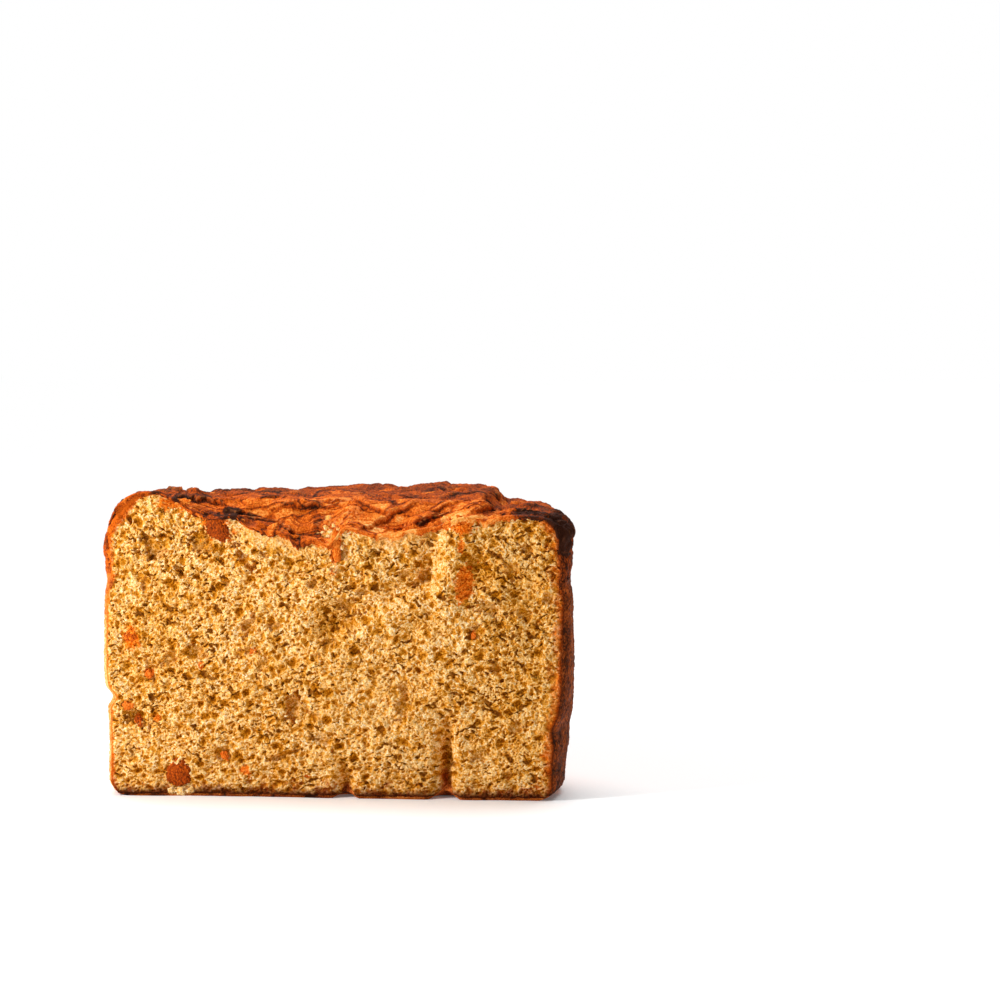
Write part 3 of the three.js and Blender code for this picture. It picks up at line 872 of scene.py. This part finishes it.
# How baked the cap and the wall are, and how much painted shade darkens the loaf's right end by the cut,
# which faces away from the lamp.
CAP_BAKED = 0.59
WALL_BAKED = 0.58
RIGHT_END_SHADE = 0.24


def crust_finish(name, mottled):
    """Browned crust, with painted shade in its creases, painted highlights on its ridges and pale specks of
    crumb.
    """
    finish = Finish(name)
    mottle = finish.noise(10, detail=5, roughness=0.62, stretch=(1, 1.6, 1.6), shift=0.1)
    fine = finish.noise(0.8, detail=5, roughness=0.7, stretch=(1.3, 1.3, 0.8), shift=0.2)
    shade = finish.sum(
        -0.63 - mottled / 2, (finish.told("baked"), 1), (mottle, mottled), (fine, 1.25),
        (finish.told("crease"), 0.4))
    base = finish.over(finish.ramp(shade, BAKED_COLOURS), "tin", finish.ramp(shade, TIN_COLOURS))
    base = finish.over(base, "worn", HIGHLIGHT_AND_SPECK_COLOUR)
    base = finish.over(base, "bare", finish.ramp(finish.sum(-0.2, (fine, 1.2)), CRUMB_COLOURS))
    finish.surface(base, roughness=0.55, shine=0.03)
    finish.bump(finish.sum(0, (finish.noise(0.7, detail=3), 1), (fine, 0.8)), 0.3, 0.6)
    return finish.material


def tin_share(z):
    """How much the crust's colour is what the tin gave it."""
    return 0.9 * fall(74, 106, z)


def baked_share(x, y, z):
    """How long each spot was baked: least at the wall's lower left, by the cut; the right end by the cut also
    gets painted shade.
    """
    wall = WALL_BAKED + 0.06 * lumps(x / 24, y / 24, z / 24)
    pale_side = fall(-60, 40, x) * fall(20, 60, y) * fall(50, 104, z)
    cap = rise(80, 100, z)
    right_end_shade = RIGHT_END_SHADE * rise(56, 84, x) * fall(20, 50, y)
    left_end = 0.09 * fall(-50, -20, x) - 0.04 * bell((x - 50) / 24)
    on_cap = CAP_BAKED + left_end + 0.08 * rise(12, 26, y)
    return np.clip(wall * (1 - 0.5 * pale_side) * (1 - cap) + on_cap * cap + right_end_shade, 0, 1)


def girth_at(x, y):
    """How far round the wall a point lies, in millimetres."""
    return np.arctan2(y - CUT_BEFORE_CENTRE, x) * RADIUS


def cells(x, z, size, seed):
    """Cells side by side: how far each point is from its cell's wall, and the cell's chance."""
    across, up = x / size, z / size
    column, row = np.floor(across), np.floor(up)
    nearest, second = np.full(np.shape(x), 9.0), np.full(np.shape(x), 9.0)
    own = np.zeros(np.shape(x))
    for di, dj in NEIGHBOURS:
        i, j = column + di, row + dj
        luck = chance(i, j, seed + 2)
        far = np.hypot(i + chance(i, j, seed) - across, j + chance(i, j, seed + 1) - up) - 0.3 * luck
        second = np.minimum(second, np.maximum(far, nearest))
        own = np.where(far < nearest, luck, own)
        nearest = np.minimum(nearest, far)
    return second - nearest, own


def tin_grain(x, y, z):
    """The grain that the tin gave the crust: its height in millimetres, its pits and its chances."""
    girth = girth_at(x, y)
    across = girth + 0.5 * lumps(girth / 2, z / 2, 101)
    inside, own = cells(across, z + 0.5 * lumps(girth / 2, z / 2, 103), 2.4, 500)
    fine_inside, _ = cells(girth, z, 1.1, 510)
    streak = lumps(girth / 3, z / 14, 105)
    grain = 0.9 * np.minimum(inside, 0.4) + 0.4 * np.minimum(fine_inside, 0.4) + 0.2 * streak + 0.2 * own
    return grain, np.clip(1.2 * (0.25 - inside), 0, 1), own


loaf_crust = crust_finish("loaf_crust", 0.8)
for name, start, end, columns, rows in CAP_SHEETS:
    mesh, u, v = grid_mesh(name, columns, rows)
    u = u * 2 - 1
    lip = np.clip(1 - v / LIP_SHARE, 0, 1) * (start == 0)
    if start == 0:
        v = np.clip((v - LIP_SHARE) / (1 - LIP_SHARE), 0, 1)
    v = start + (end - start) * v
    ring = np.maximum(np.abs(u), v)
    reach = np.maximum(ring, FLAT_SHARE)
    plan_x, plan_y = plan_point((u / reach + 1) / 2, v / reach)
    girth = girth_at(plan_x, plan_y)
    bottom = CAP_BOTTOM + 1.6 * lumps(girth / 17, 3, 121) + 0.7 * lumps(girth / 5, 3, 123)
    drum_z = LOAF_HEIGHT - np.maximum(ring - FLAT_SHARE, 0) / (1 - FLAT_SHARE) * (LOAF_HEIGHT - bottom)
    x, y, z = bread_point(plan_x, plan_y, drum_z)
    place(mesh, in_metres(x, y, z))

    # The skin's relief on the top, and the tin's grain on the wall. Both fade out at the cap's lower border.
    broad, height, crease, rim, chances = crumpled(x, plan_y - 2.5 * lip, z)
    bare = np.clip(spots(x, plan_y, z - lip_drop(x) * lip, BARE_SPOTS), 0, 1)
    pit = np.zeros(len(x))
    torn = bare > 0
    pit[torn] = gas_cells(x[torn], (z - 2 * lip)[torn])[0]
    height = height * (1 - 0.6 * bare) - pit * bare
    grain, grain_pits, _ = tin_grain(x, y, z)
    near_tin = rise(FLAT_SHARE + 0.06, FLAT_SHARE + 0.16, ring)
    on_top = fall(FLAT_SHARE - 0.02, FLAT_SHARE + 0.08, ring)
    fade = (0.35 * on_top + (1 - 0.35 * on_top) * rise(0, 2.5, plan_y)) * (1 - 0.9 * rise(0.9, 1, ring))
    fade = fade * (1 - 0.5 * rise(0.8, 0.9, ring))
    sunk = 0.5 * rise(0.96, 1, ring)
    outwards = height * fade + (grain - 0.5) * near_tin - sunk
    points = in_metres(x, y, z) + vectors(mesh, "normal") * (MM * outwards)[:, None]

    # The lip curls out over the face and hangs down, and at both ends it turns in.
    points[:, 0] -= MM * np.sign(x) * 0.8 * lip * (1 - on_top)
    points[:, 1] -= MM * (0.6 * (lip > 0) + 0.8 * np.sin(math.pi * np.minimum(1.2 * lip, 1))) * on_top
    points[:, 2] -= MM * lip_drop(x) * lip * on_top
    place(mesh, points)

    upper = fall(0.8, 0.98, ring)
    # Painted highlights on the bulging folds and on the plates' and folds' rims, with the pale specks of
    # crumb.
    worn = np.clip(bulges(broad, columns) * 1.6 - 0.1, 0, 0.6) * (0.6 + 0.4 * lumps(x / 3, y / 3, z / 3))
    worn = np.maximum(0.5 * worn * rise(0.5, 2, plan_y), 0.75 * rim)
    paler_front = 0.06 * bell(plan_y / 14) * rise(-60, -10, x) * fall(60, 80, x)
    patches = 0.4 * chances * upper + spots(x, plan_y, z, PATCHES)
    # Painted shade in the creases, and in the pits of the tin's grain lower down.
    crease = np.maximum(crease * upper, grain_pits * near_tin)
    baked = baked_share(x, y, z) - paler_front + patches
    tell(mesh, crease=crease, worn=worn * (1 - bare) * upper, bare=bare, baked=baked, tin=tin_share(z))
    close_behind(mesh, shrink=(0.93, 0.93, 1), shift=(0, 0.004, -0.006))
    show(mesh, name, loaf_crust)


# ------------------------------
# The wall: the crust that baked against the tin, round the back and both ends. It is grainy and orange brown,
# with upright streaks where the dough slid up the metal.

WALL_COLUMNS = 500
WALL_ROWS = 132
# The wall goes up under the cap's border.
WALL_TOP = 87.5

mesh, along, up = grid_mesh("wall", WALL_COLUMNS, WALL_ROWS)
angle = -CUT_ANGLE + along * (math.pi + 2 * CUT_ANGLE)
wall_x, wall_y = on_wall(angle)
x, y, z = bread_point(wall_x, np.maximum(wall_y, 0), up * WALL_TOP)
place(mesh, in_metres(x, y, z))
grain, grain_pits, own = tin_grain(x, y, z)
fade = rise(0, 3, y) * rise(0, 3, z) * fall(0.97, 1, up)
place(mesh, in_metres(x, y, z) + vectors(mesh, "normal") * (MM * (grain - 0.6) * fade)[:, None])
# Painted highlights on the bulges of the tin's grain, fading out towards the right end, which faces away from
# the lamp.
worn = np.clip(bulges(grain, WALL_COLUMNS) * 1.2 - 0.1, 0, 0.5) * (1 - 0.8 * rise(40, 80, x))
baked = baked_share(x, y, z) + 0.1 * (own - 0.5)
# Painted shade in the pits of the tin's grain.
tell(mesh, crease=grain_pits, worn=worn, bare=0, baked=baked, tin=tin_share(z))
close_behind(mesh, shrink=(0.93, 0.93, 0.95), shift=(0, 0.004, 0.003))
show(mesh, "wall", loaf_crust)


# ------------------------------
# The base: the flat browned crust that stood on the tin's bottom.

BASE_COLUMNS = 120
BASE_ROWS = 76
BASE_BAKED = 0.62

mesh, along, deep = grid_mesh("base", BASE_COLUMNS, BASE_ROWS)
plan_x, plan_y = plan_point(along, deep)
x, y, z = bread_point(plan_x, plan_y, 0 * along)
place(mesh, in_metres(x, y, z))
dents = np.clip(lumps(x / 2, y / 2, 111), 0, 1)
tell(mesh, crease=dents, worn=0, bare=0, baked=BASE_BAKED + 0.15 * lumps(x / 9, y / 9, 113), tin=tin_share(z))
close_behind(mesh, shrink=(0.96, 0.96, 1), shift=(0, 0.003, 0.004), faces_down=True)
show(mesh, "base", loaf_crust)


# ------------------------------
# The bits: crumbs and flakes of crust that the knife tore off and left stuck to the cut face, and pale crumbs
# of the bread's own inside.

# Bits of crust: place, half width, half height, how far each stands out, its turn, how baked it is, and how
# uneven.
CRUST_BITS = [
    (-61.3, 9.4, 5, 5.6, 2.2, 0, 0.74, 0.12), (-80.2, 62.4, 2.4, 3.6, 0.8, 0, 0.66, 0.4),
    (-45.6, 105.4, 6.4, 4, 2.1, -42, 0.78, 0.1), (1.6, 99, 1.7, 6.8, 1.1, 3, 0.5, 0.12),
    (-52.2, 51.6, 1.1, 1.9, 0.8, 20, 0.5, 0.5), (-31.6, 57.8, 1.2, 1.7, 0.8, -20, 0.5, 0.5),
    (-42.9, 16.2, 1.2, 1.8, 0.8, 30, 0.55, 0.5), (-34.2, 10.4, 2, 0.8, 0.6, 10, 0.48, 0.5),
    (-10.4, 8.8, 1.5, 0.7, 0.6, -10, 0.5, 0.5), (-0.5, 18.8, 0.7, 1.3, 0.6, 0, 0.48, 0.5),
    (55.4, 64.5, 0.8, 1.2, 0.6, 10, 0.5, 0.5), (-81.6, 35.4, 1.8, 1.4, 0.7, 0, 0.5, 0.5),
    (-77.1, 29.4, 1.2, 1.8, 0.8, 20, 0.72, 0.5), (-73, 47.8, 1.2, 1.4, 0.6, 0, 0.5, 0.5),
]
# Pale crumbs in a heap under the largest bit, and where the crust lifts: place and size.
PALE_BITS = [
    (-64.2, 2, 1.7), (-60.4, 1.5, 2.1), (-57, 2.4, 1.6), (3.6, 98.4, 0.9), (-68, 90.4, 1),
    (-2.6, 106.2, 0.9), (-0.9, 104.8, 0.8), (0.6, 107, 0.7), (4, 103.6, 0.9), (-1.6, 103, 0.7),
    (2.2, 105.6, 0.6), (-3.8, 104.4, 0.6), (5.6, 105, 0.6),
]
# Small torn flakes that hang along the crust's edge: how many, and their largest half width.
EDGE_FLAKES = 46
EDGE_FLAKE = 1.4
# How far behind the knife's plane the bits are stuck on, and how much each is pressed flat.
STUCK_AT = 0.8
PRESSED = 0.6
# How finely a bit's ball is divided: a large one's, a small one's and a hanging flake's.
FINENESS = (6, 5, 4)
LARGE_BIT = 4


def stuck_bit(bm, spot, halves, turn, fineness, uneven, seed):
    """One torn bit: a ball, roughened, pressed flat against the bread and turned."""
    x, z = spot
    wide, high, thick = halves
    made = bmesh.ops.create_icosphere(bm, subdivisions=fineness, radius=1)["verts"]
    points = np.array([vert.co[:] for vert in made])
    waves = [lumps(*(points.T * size + seed)) for size in (1.6, 3.6, 9, 18)]
    grainy = min(1, uneven / 0.12) ** 4
    swell = 1 + uneven * (waves[0] + 0.6 * waves[1]) + grainy * (0.1 * waves[2] + 0.07 * waves[3])
    across, out, up = (points * swell[:, None]).T
    out = np.where(out > 0, PRESSED * out, -np.abs(out) ** 0.7) * thick
    across, up = turned(across * wide, up * high, -turn)
    on_face = in_metres(x + across, STUCK_AT + face_relief(x, z) + out, z + up)
    for vert, point in zip(made, on_face):
        vert.co = point
    return len(made)


bm = bmesh.new()
baked = []
random = np.random.default_rng(5)
edge_flakes = []
for _ in range(EDGE_FLAKES):
    x = random.uniform(-62, 78)
    half = EDGE_FLAKE * random.uniform(0.3, 1) ** 1.5
    z = float(crust_line(np.array(x))) - random.uniform(0.2, 2.4)
    thick, turn, dark = random.uniform(0.3, 0.6) * half, random.uniform(-40, 40), random.uniform(0.4, 0.7)
    edge_flakes.append((x, z, half * random.uniform(1, 2.4), half, thick, turn, dark, 0.6))
for n, (x, z, wide, high, thick, turn, dark, uneven) in enumerate(CRUST_BITS + edge_flakes):
    fineness = FINENESS[0 if wide > LARGE_BIT else 1 if n < len(CRUST_BITS) else 2]
    count = stuck_bit(bm, (x, z), (wide, high, thick), turn, fineness, uneven, 3.7 * n)
    baked += [dark] * count
mesh = finished_mesh(bm, "crust_bits")
tell(mesh, baked=baked, crease=0, worn=0, bare=0, tin=0)
show(mesh, "crust_bits", crust_finish("torn_crust", 0.3))

bm = bmesh.new()
for n, (x, z, half) in enumerate(PALE_BITS):
    stuck_bit(bm, (x, z), (half, 0.9 * half, 0.7 * half), 0, FINENESS[1], 0.4, 100 + 3.7 * n)
mesh = finished_mesh(bm, "pale_bits")
tell(mesh, pit=0, hollow=0, dark=0, browned=0, baked=0, stained=0, smeared=0)
show(mesh, "pale_bits", crumb_material)


# ------------------------------
# The floor, the light and the camera: a plain pale floor that runs into a white room, a soft lamp at the left
# in front, and an even light from overhead.

FLOOR_HALF = 6
FLOOR_GLOW = 0.07
ROOM_LIGHT = 0.22
WHITE = (1, 1, 1, 1)

bm = bmesh.new()
bmesh.ops.create_grid(bm, x_segments=1, y_segments=1, size=FLOOR_HALF)
floor = in_scene("floor", finished_mesh(bm, "floor"))
pale_floor = bpy.data.materials.new("pale_floor")
pale_floor.use_nodes = True
# A faint glow makes the floor as white as the room behind it.
dial(pale_floor.node_tree.nodes["Principled BSDF"], {
    "Base Color": (0.96, 0.96, 0.96, 1), "Roughness": 0.6, "Emission Color": WHITE,
    "Emission Strength": FLOOR_GLOW})
floor.data.materials.append(pale_floor)
floor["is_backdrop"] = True


def look_at(thing, spot, target):
    thing.location = spot
    thing.rotation_euler = (Vector(target) - Vector(spot)).to_track_quat("-Z", "Y").to_euler()


key = bpy.data.lights.new("key", "AREA")
key.energy = 3.6
key.size = 0.14
look_at(in_scene("key", key), (-0.44, -0.33, 0.38), (0, 0, 0.06))

overhead = bpy.data.lights.new("overhead", "SUN")
overhead.energy = 2.7
overhead.angle = math.radians(50)
in_scene("overhead", overhead).rotation_euler = (math.radians(-24), 0, 0)

# The room gives an even soft light, and is plain white where the camera sees it.
world = bpy.data.worlds.new("soft_room")
world.use_nodes = True
nodes, links = world.node_tree.nodes, world.node_tree.links
room = dial(nodes["Background"], {"Color": WHITE, "Strength": ROOM_LIGHT})
behind = dial(nodes.new("ShaderNodeBackground"), {"Color": WHITE})
seen = nodes.new("ShaderNodeLightPath")
either = nodes.new("ShaderNodeMixShader")
links.new(seen.outputs["Is Camera Ray"], either.inputs["Fac"])
links.new(room.outputs["Background"], either.inputs[1])
links.new(behind.outputs["Background"], either.inputs[2])
links.new(either.outputs["Shader"], nodes["World Output"].inputs["Surface"])
bpy.context.scene.world = world
bpy.context.scene.view_settings.view_transform = "Standard"

camera = bpy.data.cameras.new("camera")
camera.lens = 120
camera.clip_end = 50
holder = in_scene("camera", camera)
look_at(holder, (0.19388, -1.33832, 0.19860), (0.05937, 0.00930, 0.11339))
bpy.context.scene.camera = holder

low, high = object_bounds()
